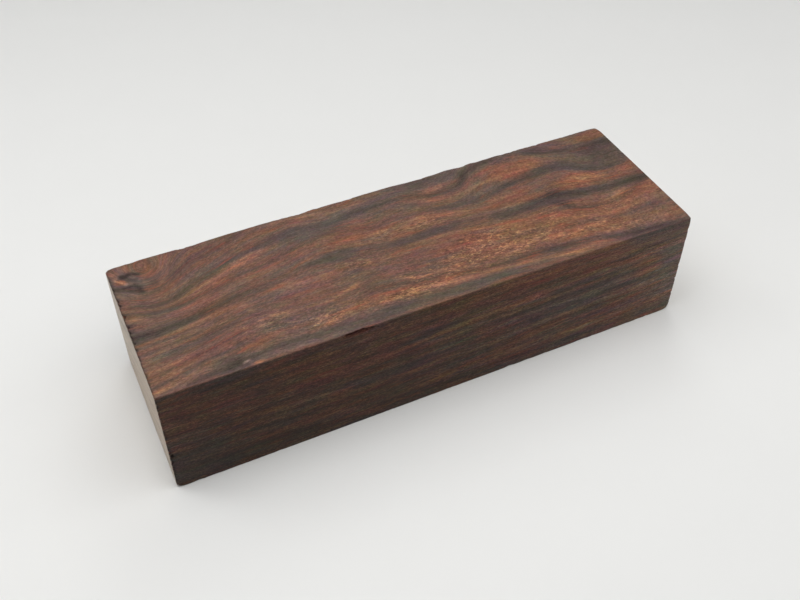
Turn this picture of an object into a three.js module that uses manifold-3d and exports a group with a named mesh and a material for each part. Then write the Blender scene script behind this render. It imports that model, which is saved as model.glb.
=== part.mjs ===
// A sawn block of desert ironwood, of the size that knife and tool handles are cut from.
// It lies on a wide face. Millimetres, +Z up, X along the grain, +Y to the back.
// The origin is at the centre of the underside.

import * as THREE from "three";
import { mergeVertices } from "three/addons/utils/BufferGeometryUtils.js";
import Module from "manifold-3d";

// Driving dimensions
const LENGTH = 128;
const WIDTH = 40.5;
const HEIGHT = 29.9;

// Every sawn arris is slightly blunt, and the corners are knocked rounder.
const ARRIS_RADIUS = 0.2;
const CORNER_REACH = 1.3;
const WORN_CORNERS = [
  { x: 1, y: -1, z: 1, radius: 0.55 },
  { x: 1, y: -1, z: -1, radius: 1.0 },
  { x: 1, y: 1, z: 1, radius: 0.9 },
  { x: 1, y: 1, z: -1, radius: 0.8 },
  { x: -1, y: -1, z: 1, radius: 0.4 },
  { x: -1, y: -1, z: -1, radius: 1.2 },
  { x: -1, y: 1, z: 1, radius: 0.9 },
  { x: -1, y: 1, z: -1, radius: 0.8 },
];

// The upper back arris is the raggedest: its radius at places along the block, blended between them.
const BACK_ARRIS_REACH = 1.5;
const BACK_ARRIS = [
  { x: -64, radius: 0.7 },
  { x: -57, radius: 0.3 },
  { x: -49, radius: 0.4 },
  { x: -45, radius: 0.7 },
  { x: -40, radius: 0.4 },
  { x: -33, radius: 0.2 },
  { x: -24, radius: 0.2 },
  { x: -20, radius: 0.5 },
  { x: -15, radius: 0.2 },
  { x: -8, radius: 0.4 },
  { x: 0, radius: 0.2 },
  { x: 7, radius: 0.3 },
  { x: 12, radius: 0.6 },
  { x: 17, radius: 0.6 },
  { x: 20, radius: 0.2 },
  { x: 24, radius: 0.6 },
  { x: 28, radius: 0.4 },
  { x: 35, radius: 0.2 },
  { x: 45, radius: 0.4 },
  { x: 52, radius: 0.6 },
  { x: 60, radius: 0.5 },
  { x: 64, radius: 0.7 },
];

// Rings of vertices beside each arris, measured from it, and the spacing along the block between them.
const ARRIS_RINGS = [0, 0.25, 0.7, 1.8];
const STATION_SPACING = 2.4;
const LEAST_MOVE = 0.04;

// The saw tore small chips from the arrises.
// at is the middle of a chip and size is its half extent along X, Y and Z.
const LEFT = -LENGTH / 2;
const RIGHT = LENGTH / 2;
const FRONT = -WIDTH / 2;
const BACK = WIDTH / 2;
const LEFT_TOP_CHIPS = [
  { y: 12.7, reach: 0.6, width: 0.5 },
  { y: 9.3, reach: 0.8, width: 0.5 },
  { y: 7.6, reach: 0.9, width: 0.45 },
  { y: 4.1, reach: 1.3, width: 0.55 },
  { y: 0.8, reach: 1.4, width: 0.6 },
  { y: -0.9, reach: 1.0, width: 0.5 },
  { y: -2.6, reach: 0.7, width: 0.45 },
  { y: -4.3, reach: 1.2, width: 0.5 },
  { y: -6.2, reach: 0.6, width: 0.45 },
  { y: -9.4, reach: 0.6, width: 0.45 },
  { y: -13.8, reach: 0.5, width: 0.4 },
];
const LEFT_FRONT_CHIPS = [
  { z: 27.6, reach: 0.5, height: 0.6 },
  { z: 17.4, reach: 0.5, height: 0.6 },
  { z: 11.2, reach: 1.4, height: 0.5 },
  { z: 9.1, reach: 0.9, height: 0.5 },
  { z: 7.3, reach: 0.7, height: 0.4 },
  { z: 5.8, reach: 0.6, height: 0.5 },
];
const CHIP_DEPTH = 0.45;
const LONG_CHIPS = [
  { at: [-20.8, FRONT, HEIGHT - 0.45], size: [3.9, 0.6, 0.42] },
  { at: [-46, BACK, HEIGHT], size: [2.2, 0.45, 0.5] },
  { at: [11, BACK, HEIGHT], size: [3.6, 0.35, 0.4] },
  { at: [24.2, BACK, HEIGHT], size: [1.5, 0.5, 0.5] },
  { at: [45.4, BACK, HEIGHT], size: [1.9, 0.4, 0.4] },
];

// The arrises that face away from the front chip by chance, from a fixed seed.
const CHANCE_SEED = 41;
const CHANCE_ARRISES = [
  { from: [LEFT, FRONT, 0], to: [LEFT, BACK, 0], count: 7 },
  { from: [LEFT, BACK, 0], to: [LEFT, BACK, HEIGHT], count: 5 },
  { from: [RIGHT, FRONT, 0], to: [RIGHT, FRONT, HEIGHT], count: 6 },
  { from: [RIGHT, BACK, 0], to: [RIGHT, BACK, HEIGHT], count: 4 },
  { from: [RIGHT, FRONT, 0], to: [RIGHT, BACK, 0], count: 5 },
  { from: [LEFT, BACK, 0], to: [RIGHT, BACK, 0], count: 6 },
];
const CHANCE_SIZE = { least: 0.25, most: 0.6 };
const CHANCE_SHARE = { least: 0.15, most: 0.85 };

// The thin facets that the chips leave, finer than this, are merged away.
const SLIVER = 0.02;

const wasm = await Module();
wasm.setup();

// The same sequence of numbers from 0 to 1 on every run.
function seededRandom(seed) {
  let state = seed;
  return () => {
    state = (state + 0x6d2b79f5) | 0;
    let mixed = Math.imul(state ^ (state >>> 15), 1 | state);
    mixed = (mixed + Math.imul(mixed ^ (mixed >>> 7), 61 | mixed)) ^ mixed;
    return ((mixed ^ (mixed >>> 14)) >>> 0) / 2 ** 32;
  };
}

// Positions from -size / 2 to size / 2, close together at both ends.
function stations(size, spacing) {
  const inset = ARRIS_RINGS[ARRIS_RINGS.length - 1];
  const count = Math.max(1, Math.round((size - 2 * inset) / spacing));
  const middle = [];
  for (let i = 1; i < count; i += 1) {
    middle.push(inset + ((size - 2 * inset) * i) / count);
  }
  const far = ARRIS_RINGS.map((ring) => size - ring).reverse();
  return [...ARRIS_RINGS, ...middle, ...far].map((place) => place - size / 2);
}

// 1 at the place itself, and close to 0 from twice the reach on.
function nearness(distance, reach) {
  return Math.exp(-((distance / reach) ** 2));
}

function backArrisRadius(x) {
  const next = Math.max(1, BACK_ARRIS.findIndex((place) => place.x >= x));
  const before = BACK_ARRIS[next - 1];
  const after = BACK_ARRIS[next];
  const share = (x - before.x) / (after.x - before.x);
  return THREE.MathUtils.lerp(before.radius, after.radius, share);
}

// How far from a point on the block's faces its arrises and corners are rounded.
function easingRadius(point) {
  let radius = ARRIS_RADIUS;
  for (const side of WORN_CORNERS) {
    const corner = new THREE.Vector3(side.x * LENGTH, side.y * WIDTH, side.z * HEIGHT).divideScalar(2);
    radius += (side.radius - ARRIS_RADIUS) * nearness(point.distanceTo(corner), CORNER_REACH);
  }
  const fromArris = Math.hypot(point.y - WIDTH / 2, point.z - HEIGHT / 2);
  return radius + (backArrisRadius(point.x) - ARRIS_RADIUS) * nearness(fromArris, BACK_ARRIS_REACH);
}

// Moves a point on the sharp block's faces onto the blunt block's. Too small a move is left out, so that
// the faces stay truly flat.
function ease(point) {
  const radius = easingRadius(point);
  const core = new THREE.Vector3(LENGTH / 2 - radius, WIDTH / 2 - radius, HEIGHT / 2 - radius);
  const inner = point.clone().clamp(core.clone().negate(), core);
  const eased = point.clone().sub(inner).setLength(radius).add(inner);
  return eased.distanceTo(point) < LEAST_MOVE ? point : eased;
}

function bluntBlock() {
  const along = stations(LENGTH, STATION_SPACING);
  const across = stations(WIDTH, WIDTH);
  const up = stations(HEIGHT, HEIGHT);
  const segments = [along, across, up].map((places) => places.length - 1);
  const geometry = new THREE.BoxGeometry(...segments, ...segments);
  const positions = geometry.attributes.position;
  for (let i = 0; i < positions.count; i += 1) {
    const step = [positions.getX(i), positions.getY(i), positions.getZ(i)].map((place, axis) =>
      Math.round(place + segments[axis] / 2),
    );
    const point = ease(new THREE.Vector3(along[step[0]], across[step[1]], up[step[2]]));
    positions.setXYZ(i, point.x, point.y, point.z + HEIGHT / 2);
  }
  return geometry;
}

// A faceted scoop of the given half extents.
function scoop({ at, size }) {
  const geometry = new THREE.IcosahedronGeometry(1, 1);
  return geometry.scale(...size).translate(...at);
}

function seenChips() {
  const top = LEFT_TOP_CHIPS.map(({ y, reach, width }) => ({
    at: [LEFT, y, HEIGHT],
    size: [reach, width, CHIP_DEPTH],
  }));
  const front = LEFT_FRONT_CHIPS.map(({ z, reach, height }) => ({
    at: [LEFT, FRONT, z],
    size: [reach, CHIP_DEPTH, height],
  }));
  return [...top, ...front, ...LONG_CHIPS];
}

function chanceChips() {
  const random = seededRandom(CHANCE_SEED);
  const drawn = ({ least, most }) => THREE.MathUtils.lerp(least, most, random());
  const between = (from, to, share) =>
    from.map((start, axis) => THREE.MathUtils.lerp(start, to[axis], share));
  return CHANCE_ARRISES.flatMap(({ from, to, count }) =>
    Array.from({ length: count }, (_, i) => ({
      at: between(from, to, (i + drawn(CHANCE_SHARE)) / count),
      size: [drawn(CHANCE_SIZE), drawn(CHANCE_SIZE), drawn(CHANCE_SIZE)],
    })),
  );
}

function solidFrom(geometry) {
  const bare = geometry.clone();
  bare.deleteAttribute("normal");
  bare.deleteAttribute("uv");
  const merged = mergeVertices(bare.index ? bare.toNonIndexed() : bare, 1e-4);
  const mesh = new wasm.Mesh({
    numProp: 3,
    vertProperties: new Float32Array(merged.attributes.position.array),
    triVerts: new Uint32Array(merged.index.array),
  });
  return new wasm.Manifold(mesh);
}

function geometryFrom(solid) {
  const mesh = solid.getMesh();
  const geometry = new THREE.BufferGeometry();
  geometry.setAttribute("position", new THREE.BufferAttribute(mesh.vertProperties, 3));
  geometry.setIndex(new THREE.BufferAttribute(mesh.triVerts, 1));
  geometry.computeVertexNormals();
  return geometry;
}

function ironwoodBlock() {
  let solid = solidFrom(bluntBlock());
  for (const chip of [...seenChips(), ...chanceChips()]) {
    solid = solid.subtract(solidFrom(scoop(chip)));
  }
  solid = solid.asOriginal().simplify(SLIVER);
  const wood = new THREE.MeshStandardMaterial({ color: 0x5d3d30, roughness: 0.5, metalness: 0 });
  const mesh = new THREE.Mesh(geometryFrom(solid), wood);
  mesh.name = "ironwood_block";
  return mesh;
}

const part = new THREE.Group();
part.add(ironwoodBlock());

export default part;
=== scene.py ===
"""A sawn block of desert ironwood with wavy figure, lying on a pale floor in soft light.

The wood is one dense mesh. Listed guides give its growth layers and its dark and light bands,
and the material draws the fine grain along those layers.
"""

import bpy
import numpy as np
from mathutils import Matrix, Vector


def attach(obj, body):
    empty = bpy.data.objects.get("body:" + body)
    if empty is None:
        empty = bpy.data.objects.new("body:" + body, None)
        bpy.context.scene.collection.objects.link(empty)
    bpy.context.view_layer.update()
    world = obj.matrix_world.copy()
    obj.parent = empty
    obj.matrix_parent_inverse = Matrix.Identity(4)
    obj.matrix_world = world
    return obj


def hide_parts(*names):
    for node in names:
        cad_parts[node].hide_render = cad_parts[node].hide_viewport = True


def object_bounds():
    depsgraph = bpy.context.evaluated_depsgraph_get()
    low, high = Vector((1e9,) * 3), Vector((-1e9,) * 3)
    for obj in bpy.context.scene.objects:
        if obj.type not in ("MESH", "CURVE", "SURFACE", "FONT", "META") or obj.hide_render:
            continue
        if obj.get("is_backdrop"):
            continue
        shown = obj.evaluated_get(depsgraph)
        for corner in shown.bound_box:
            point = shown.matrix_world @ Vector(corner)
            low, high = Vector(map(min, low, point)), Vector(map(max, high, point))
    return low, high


# Driving sizes, in millimetres: X along the grain, Y to the back, Z up from the underside.
LENGTH = 128.0
WIDTH = 40.5
HEIGHT = 29.9
MM = 0.001
SEED = 41

LEFT = -LENGTH / 2
RIGHT = LENGTH / 2
FRONT = -WIDTH / 2
BACK = WIDTH / 2

# Spacing of the mesh's vertices along and across the block, as (up to this place, spacing). It is closer at
# the knot's end. The rings are closer still beside each arris.
SPACING_ALONG = ((14.0, 0.4), (LENGTH, 0.72))
SPACING_ACROSS = ((LENGTH, 0.4),)
ARRIS_RINGS = (0.0, 0.1, 0.2, 0.32, 0.46, 0.64, 0.9)

# Every sawn arris is slightly blunt, and the corners are knocked rounder.
ARRIS_RADIUS = 0.18
LEAST_RADIUS = 0.1
CORNER_REACH = 1.1
WORN_CORNERS = (
    # side along x, y and z, radius
    (1, -1, 1, 0.55), (1, -1, -1, 1.0), (1, 1, 1, 0.55), (1, 1, -1, 0.8),
    (-1, -1, 1, 0.4), (-1, -1, -1, 1.2), (-1, 1, 1, 0.5), (-1, 1, -1, 0.8),
)

# The arrises are uneven, in short waves that come and go in long ones, and calmer at the right end.
UNEVEN = 0.3
UNEVEN_SHIFT = -0.06
UNEVEN_LENGTHS = (2.4, 11)
RIGHT_END_CALM = 0.7
RIGHT_END_REACH = 2

# The upper back arris is the raggedest: its radius at places along the block.
BACK_ARRIS_REACH = 1.5
BACK_ARRIS = (
    (-64, 0.7), (-57, 0.3), (-49, 0.4), (-45, 0.7), (-40, 0.4), (-36, 0.2), (-30, 0.2), (-25, 0.15),
    (-20, 0.5), (-15, 0.15), (-8, 0.4), (-4, 0.2), (5, 0.2), (12, 0.6), (17, 0.6), (20, 0.2), (24, 0.6),
    (27.3, 0.15), (28.3, 0.5), (35, 0.2), (45, 0.4), (52, 0.6), (60, 0.5), (64, 0.7),
)

# Chips torn from the arrises by the saw.
# Along the upper arris of the left end: (y, reach along the block, half width)
LEFT_TOP_CHIPS = (
    (12.7, 0.6, 0.5), (9.3, 0.8, 0.5), (7.6, 0.9, 0.45), (4.1, 1.3, 0.55), (0.8, 1.4, 0.6),
    (-0.9, 1.0, 0.5), (-2.6, 0.7, 0.45), (-4.3, 1.2, 0.5), (-6.2, 0.6, 0.45), (-9.4, 0.6, 0.45),
    (-13.8, 0.5, 0.4),
)
# Along the front arris of the left end: (z, reach along the block, half height)
LEFT_FRONT_CHIPS = (
    (27.6, 0.5, 0.6), (17.4, 0.5, 0.6), (12.6, 0.8, 0.5), (11.2, 1.7, 0.55), (9.3, 1.2, 0.6),
    (7.3, 0.8, 0.5), (5.8, 0.6, 0.5),
)
CHIP_DEPTH = 0.4
# The share of each reach that is torn away, and the tone of the painted shade that covers all of it,
# standing in for the shade in the chips' hollows
TORN_SHARE = 0.55
PAINTED_CHIP_SHADE = -1.5
# Long ones: (middle, half extents, direction that the cut goes in)
LONG_CHIPS = (
    ((-20.8, FRONT, HEIGHT - 0.45), (3.9, 0.6, 0.42), (0, 1, -0.3)),
    ((-46, BACK, HEIGHT), (2.2, 0.45, 0.5), (0, -1, -1)),
    ((11, BACK, HEIGHT), (3.6, 0.35, 0.4), (0, -1, -1)),
    ((24.2, BACK, HEIGHT), (1.5, 0.5, 0.5), (0, -1, -1)),
    ((45.4, BACK, HEIGHT), (1.9, 0.4, 0.4), (0, -1, -1)),
)
# Small ones, scattered along an arris: (its start, its end, direction that the cuts go in, how many)
SCATTERED_CHIPS = (
    ((LEFT, FRONT, 0), (LEFT, BACK, 0), (1, 0, 1), 14),
    ((LEFT, BACK, 0), (LEFT, BACK, HEIGHT), (1, -1, 0), 9),
    ((LEFT, FRONT, 4), (LEFT, FRONT, HEIGHT), (1, 1, 0), 9),
    ((LEFT, FRONT, HEIGHT), (LEFT, BACK, HEIGHT), (1, 0, -1), 9),
    ((RIGHT, FRONT, 0), (RIGHT, FRONT, 16), (-1, 1, 0), 4),
    ((RIGHT, BACK, 0), (RIGHT, BACK, HEIGHT), (-1, -1, 0), 7),
    ((RIGHT, FRONT, 0), (RIGHT, BACK, 0), (-1, 0, 1), 10),
    ((LEFT, BACK, 0), (RIGHT, BACK, 0), (0, -1, 1), 12),
)
SCATTERED_SIZES = (0.15, 0.4)
# Their sizes vary: (middle, swing, wave length)
CHIP_WOBBLE = (1, 0.22, 1.1)
# How deep a cut looks fully torn
FULLY_TORN = 0.35

# The growth layers slope through the block: a layer at depth d lies SLANT * d nearer the back than at the
# top. Where they leave the top for the front, the guides of the top give way to those of the front.
SLANT = 1.7
TURN_SOFTNESS = 0.25

# Growth layers: (layer number, path on the top as (x, y)), from the front to the back. Those in front of the
# front arris carry on down the front face.
LAYERS = (
    (-92, ((-64, -92), (64, -92))),
    (-46, ((-64, -44.6), (-20, -46.9), (20, -45.8), (64, -42.5))),
    (-31, ((-64, -30.3), (-30, -31.7), (0, -30.9), (30, -29.4), (64, -28.2))),
    (-19, ((-64, -20.8), (-55, -19.4), (-48, -19.3), (-43, -17.8), (-36, -17.2), (-28, -18), (-20, -17.4),
     (-8, -17.6), (4, -18.5), (14, -18.5), (24, -20), (40, -22), (64, -24))),
    (-13, ((-64, -14.9), (-57, -13.8), (-50, -12.3), (-43, -10.8), (-36, -11), (-26, -11.2), (-18, -11.6),
     (-12, -10.7), (-6, -11.8), (0, -13), (6, -13.6), (12, -15), (24, -15.5), (34, -16.3), (40, -17),
     (46, -19), (52, -19.9), (64, -20))),
    (-4.5, ((-64, -8), (-50, -6.8), (-40, -4.2), (-28, -3.2), (-10, -3.2), (12, -3.4), (30, -4.8),
     (38, -4.6), (41, -5.6), (46, -6.9), (50, -7.4), (54, -6.8), (58, -5.8), (64, -5.6))),
    (0, ((-64, -2.9), (-58, -3), (-50, -2.2), (-44, -0.8), (-36, 0.4), (-28, 1.2), (-22, 2.3), (-14, 2.1),
     (-6, 1), (4, 0.8), (12, 1), (20, 0.4), (26, -0.9), (34, -0.8), (41, 0.3), (46, -1.4), (54, -2.4),
     (64, -2.3))),
    (8, ((-64, 4.6), (-60, 3.2), (-56, 2.3), (-52, 2.4), (-46, 3.8), (-40, 5.4), (-34, 6.4), (-28, 7.6),
     (-24, 9.2), (-19, 10.8), (-12, 10.2), (-5, 8.2), (2, 8.9), (9, 8.7), (15, 7.1), (22, 6.6), (29, 8.6),
     (37, 9), (46, 9.3), (50, 7.4), (54, 5.2), (64, 5.2))),
    (14, ((-64, 7.2), (-61, 6), (-57, 4.4), (-54, 4.4), (-50, 6.5), (-46, 8.8), (-42, 9.8), (-38, 11.5),
     (-32, 13.3), (-22, 15.1), (-14, 13.6), (-6, 15), (5, 15.4), (12, 13.1), (19, 13.2), (22, 15),
     (24.5, 17.6), (29, 20), (35, 21), (40, 19.6), (45, 16.6), (52, 14.5), (57, 13.8), (64, 13.9))),
    (40, ((-64, 33), (-50, 33), (-30, 39), (0, 41), (30, 45), (64, 40))),
)
# The grid that the layers are softened on: its step, its margin past the ends, and its reach in y
GRID_STEP = 0.5
GRID_MARGIN = 4
GRID_REACH = (-84, 30)

# Bands of the figure on the top: (half width, path as (x, y, tone)). Tone is below 0 where darker than the
# wood around it and above 0 where lighter.
TOP_BANDS = (
    # the main dark band, along the middle
    (1.15, ((-64, -2.6, -0.6), (-60, -3.3, -0.75), (-56, -2.8, -0.75), (-50, -2.3, -0.7), (-46, -1.2, -0.6),
     (-42, -0.2, -0.65), (-37, 0.3, -0.6), (-32, 0.6, -0.35), (-27, 1.2, -0.35), (-22, 2.3, -0.5),
     (-16, 1.9, -0.5), (-10, 1.5, -0.35), (-4, 0.8, -0.65), (2, 0.6, -0.7), (6, 1, -0.6), (13, 1.1, -0.7),
     (18, 0.6, -0.5), (22, 0, -0.6), (26, -0.9, -0.85), (32, -0.9, -0.85), (37, 0, -0.8), (41, 0.5, -0.9),
     (44, -1.1, -0.9), (48, -1.6, -0.95), (52, -2.3, -0.8), (58, -2.2, -0.9), (64, -2.4, -0.9))),
    # soft dark wood on both sides of it, at the left end and to the right
    (1.5, ((-64, -3.2, -0.6), (-58, -3.3, -0.6), (-52, -2.6, -0.4), (-46, -1.2, -0.2), (-42, 0, -0.1))),
    (1.9, ((22, 0, -0.1), (27, -0.8, -0.3), (33, -0.6, -0.35), (39, 0.6, -0.45), (44, -0.6, -0.4),
     (50, -1.6, -0.3), (57, -1.7, -0.4), (64, -1.8, -0.4))),
    # the dark fork and the branch under the eye
    (0.8, ((37.6, -1.2, -0.7), (38.6, -2.4, -0.9), (39.5, -3.9, -0.9), (41, -5.5, -0.7), (44, -6.6, -0.7),
     (48, -7.3, -0.45), (52, -7, -0.35), (56, -6.1, -0.35), (59.4, -4.7, -0.6), (61, -3.4, -0.4))),
    # the second dark band
    (0.85, ((-62, 4.4, -0.1), (-59, 2.8, -0.45), (-54, 2.3, -0.5), (-50, 2.9, -0.45), (-44, 4.2, -0.4),
     (-38, 6, -0.45), (-32, 6.6, -0.45), (-28, 7.5, -0.4), (-24, 9.2, -0.55), (-20, 10.9, -0.5),
     (-14, 10.4, -0.45), (-9, 9.6, -0.35), (-5, 8, -0.5), (0, 9, -0.5), (4, 8.8, -0.35), (9, 8.8, -0.5),
     (14, 7.2, -0.75), (17, 6.8, -0.6), (22, 6.6, -0.65), (26, 7.6, -0.65), (30, 8.7, -0.9), (36, 9, -0.9),
     (44, 9.4, -0.9), (48, 8.8, -0.8), (51, 6.8, -0.8), (53.5, 5.3, -1), (57, 4.7, -0.7), (61, 4.9, -0.5))),
    (1.3, ((26, 7.8, -0.1), (32, 9.4, -0.4), (38, 10.3, -0.45), (44, 10.8, -0.5), (49, 10.2, -0.5),
     (53, 7.6, -0.4), (58, 5, -0.3))),
    # the third dark band, which runs off the back and returns
    (0.9, ((-61.5, 6.1, -0.3), (-57, 4.3, -0.6), (-54, 4.3, -0.6), (-51, 5.9, -0.65), (-48, 7.8, -0.65),
     (-44, 9.3, -0.65), (-40, 10.8, -0.7), (-36, 12.1, -0.6), (-31, 13.6, -0.6), (-26, 14.4, -0.45),
     (-22, 15.2, -0.6), (-18, 14.4, -0.35), (-13, 13.5, -0.55), (-8, 14.8, -0.7), (-2, 14.9, -0.75),
     (4, 15.5, -0.6), (8, 14.6, -0.65), (12, 13, -0.8), (18, 12.9, -0.8), (20.5, 13.6, -0.95),
     (22.2, 15.4, -1), (23.2, 17.4, -1), (26, 17.8, -0.9), (28.5, 19, -0.7), (33, 20, -0.5),
     (38, 19.8, -0.4), (42, 18.2, -0.6), (45, 16.6, -0.8), (49, 15.3, -0.8), (53, 14.3, -0.75),
     (57, 13.8, -0.85), (60, 14.2, -0.8), (64, 13.9, -0.7))),
    (1.8, ((40, 18.6, -0.1), (44, 17, -0.35), (49, 15.6, -0.4), (55, 14.6, -0.4), (60, 14.6, -0.5),
     (64, 14.2, -0.5))),
    # the dark band that bends round the knot
    (1.15, ((-58.6, 9.8, -0.2), (-56, 9.2, -0.35), (-53, 9.6, -0.4), (-51, 11, -0.5), (-49, 13.1, -0.65),
     (-46, 15.2, -0.65), (-42, 16.3, -0.6), (-38, 17.3, -0.65), (-35, 18.4, -0.6), (-32, 19.6, -0.4))),
    # the front dark band, from the middle to the front arris
    (0.75, ((-18, -11.8, -0.3), (-14, -10.9, -0.5), (-10, -10.7, -0.5), (-6, -11.6, -0.5),
     (-2, -12.8, -0.6), (4, -13.1, -0.5), (8, -14.2, -0.65), (14, -15.2, -0.8), (20, -15.3, -0.8),
     (26, -15.3, -0.7), (32, -16.1, -0.85), (38, -16.4, -0.85), (42, -17.3, -0.8), (45, -18.2, -0.9),
     (48, -18.8, -0.9), (52, -19.2, -0.9), (56, -19.5, -0.9), (60, -20, -0.8), (64, -20.2, -0.8))),
    (1.1, ((43, -18, -0.1), (47, -18.8, -0.5), (52, -19.4, -0.7), (57, -19.6, -0.5), (61, -20.2, -0.2))),
    (1.3, ((19, -15.2, -0.1), (24, -15.3, -0.35), (30, -15.8, -0.45), (35, -16.1, -0.3),
     (39, -16.6, -0.1))),
    # the grey band at the front: dark wood whose grey is partly its own and partly a painted reflection
    (0.75, ((-56, -19.6, -0.6), (-51, -18.9, -0.9), (-47.5, -19.6, -1), (-46, -18.2, -0.6),
     (-42, -17.9, -0.8), (-36, -17.2, -0.8), (-30, -17.8, -0.8), (-24, -17.4, -0.6), (-18, -17.6, -0.4),
     (-8, -17.4, -0.4), (0, -17.9, -0.35), (6, -18.6, -0.3), (13, -18.4, -0.35), (18, -19.4, -0.4),
     (25, -20, -0.3))),
    # thin dark lines
    (0.4, ((-63, -6.3, -0.25), (-58, -6.2, -0.3), (-54, -5.7, -0.3), (-47, -5, -0.35))),
    (0.4, ((-62, -8, -0.2), (-59, -7.8, -0.3), (-50, -6.9, -0.3))),
    (0.8, ((-58, -9.9, -0.3), (-52, -8.9, -0.4), (-48, -8, -0.45), (-43, -7.4, -0.3))),
    (0.5, ((-58, -11.6, -0.2), (-54, -11, -0.35), (-50, -10, -0.3))),
    (0.5, ((-63, -15, -0.3), (-58, -14, -0.45), (-50, -12.3, -0.55), (-43, -10.7, -0.4))),
    (0.6, ((-63, -17.7, -0.5), (-58, -16.6, -0.45), (-54, -15.4, -0.5), (-50, -14.8, -0.45),
     (-44, -13.2, -0.45))),
    (0.5, ((-40, -11.8, -0.2), (-32, -11, -0.35), (-26, -11.1, -0.35), (-20, -10.6, -0.3))),
    (0.45, ((-30, -6.5, -0.25), (-24, -7, -0.3), (-17, -6.7, -0.2))),
    (0.4, ((6, -11.2, -0.2), (10, -11.8, -0.4), (14, -13, -0.4), (20, -13.6, -0.3))),
    (0.45, ((24, -8, -0.25), (28, -8.5, -0.4), (33, -9.2, -0.4), (38, -10.4, -0.5), (42, -11.1, -0.55),
     (46, -10.7, -0.3))),
    (0.6, ((46, -12.3, -0.3), (51, -12.6, -0.4), (56, -12.2, -0.3), (64, -12.3, -0.3))),
    (0.35, ((31, 0.6, -0.4), (35, 1, -0.6), (37.5, 1.8, -0.5))),
    # light lines
    (0.5, ((-62.6, 5.7, 0.3), (-59.5, 3.9, 0.35), (-56, 3.2, 0.4), (-52, 4.2, 0.4), (-48, 5.8, 0.5),
     (-45, 6.7, 0.9), (-42, 7.5, 0.6), (-38.5, 8.8, 0.5), (-36, 9.4, 1), (-33, 10.3, 0.6))),
    (0.6, ((-40, 9.3, 0.3), (-37, 10.4, 0.6), (-34.5, 11.2, 1), (-31, 11.6, 0.6), (-28, 11, 0.2))),
    (0.35, ((-51, 3.7, 0.3), (-47, 4.8, 0.35), (-43, 6.1, 0.25))),
    (0.7, ((-62, 2.4, 0.8), (-60, 1.6, 0.4), (-57, 0.3, 0.3), (-53, 0.6, 0.5), (-48, 1.7, 0.45),
     (-44, 1.6, 0.45), (-41, 2.8, 0.6), (-37, 4, 0.6), (-33, 5.2, 0.6), (-28, 5.6, 0.45), (-22, 6.6, 0.5))),
    (0.8, ((-37, 2.8, 0.2), (-31, 4, 0.35), (-25, 4.4, 0.25), (-20, 3.8, 0.4))),
    (0.5, ((-64, -5.3, 0.5), (-58, -5, 0.6), (-54, -4.4, 0.7), (-50, -3.8, 0.8), (-46, -2.8, 0.6),
     (-41, -2.4, 0.4))),
    (0.4, ((-63, -7, 0.4), (-57, -6.9, 0.35), (-53, -6.2, 0.35), (-48, -5.8, 0.3))),
    (0.45, ((-63, -9.2, 0.35), (-58, -8.8, 0.4), (-52, -7.6, 0.35), (-46, -6.2, 0.35))),
    (0.45, ((-64, -13.5, 0.5), (-60, -13.3, 0.5), (-57.5, -12.8, 0.6), (-54, -12, 0.4), (-46, -10.2, 0.4),
     (-41, -8.8, 0.3))),
    (0.4, ((-62, -15.9, 0.4), (-57, -15.2, 0.45), (-52, -13.8, 0.3))),
    (0.6, ((-64, -19.2, 0.8), (-58, -18.2, 0.8), (-54, -17.2, 0.5), (-47, -16.4, 0), (-40, -16, 0.3))),
    (0.5, ((-43, -19.5, 0.2), (-38, -19.3, 0.3), (-34, -19.4, 0.45), (-28, -19.6, 0.4), (-23, -19.3, 0.2))),
    (0.55, ((-25, 19.3, 0.3), (-20, 19, 0.5), (-16, 18.3, 0.7), (-12, 17.5, 0.5), (-8, 17.2, 0.5),
     (-4, 18, 0.4))),
    (0.9, ((-33, -1.6, 0.4), (-29, -2, 0.7), (-24, -2, 0.6), (-20, -1.8, 0.65), (-18, -2.2, 0.2))),
    (0.5, ((-35, -8.6, 0.8), (-31, -9.4, 0.6), (-27, -9.4, 0.45), (-22.5, -9.8, 0.7), (-18.5, -8.4, 0.6),
     (-16, -7.6, 0.8))),
    (0.24, ((-7, -8.4, 0.5), (-5.8, -9.7, 1.2), (-4.3, -10.6, 1.6), (-0.9, -11.5, 1.3), (2.5, -11.2, 0.3))),
    (0.7, ((-12, -14.9, 0.5), (-8, -15.5, 0.55), (-3.5, -14.6, 0.9), (0, -15.3, 1.1), (3.4, -15.7, 0.9),
     (8.5, -16, 0.6), (13.5, -16, 0.5), (18.5, -17.1, 0.6), (22, -17, 0.8), (27, -17.9, 0.5),
     (34, -18.8, 0.9), (39, -18.5, 0.6), (42.5, -19.2, 0.2))),
    (0.45, ((8, 10.2, 0.3), (10.5, 11.6, 0.6), (14, 10.8, 0.45), (18.5, 10.4, 0.4), (20.5, 10.8, 0.4),
     (24, 11.8, 0.8), (30, 12.1, 0.6), (34, 12.5, 0.9), (38, 12, 0.6), (42, 12, 0.2))),
    (0.55, ((3, 6.6, 0.3), (6, 6.9, 0.6), (8.5, 6.2, 0.5), (12, 5.2, 0.3), (17, 4.6, 0.6), (21, 4.2, 0.3),
     (25, 5, 0.45), (30, 5.2, 0.35), (35, 6, 0.2))),
    (0.35, ((16.5, 1.6, 0.4), (19, 1.5, 0.8), (23, 1.4, 0.35), (27, 1.5, 0.7), (31, 1.9, 0.4),
     (35, 2.6, 0.3))),
    (0.5, ((7, -0.9, 0.35), (11, -1.3, 0.3), (15, -2.2, 0.35), (18, -3, 0.6), (21, -3.2, 0.4),
     (24, -4.2, 0.5), (28, -4.3, 0.55), (33, -3.8, 0.4))),
    (0.45, ((47, 2.4, 0.4), (49.5, 3.4, 0.8), (51.5, 2.5, 0.8), (53, 2.2, 0.4))),
    (0.8, ((49.5, -6.6, 0.3), (52, -5.7, 0.5), (54.3, -4.9, 0.6), (57, -4.5, 0.4), (58.5, -4.2, 0.1))),
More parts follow.
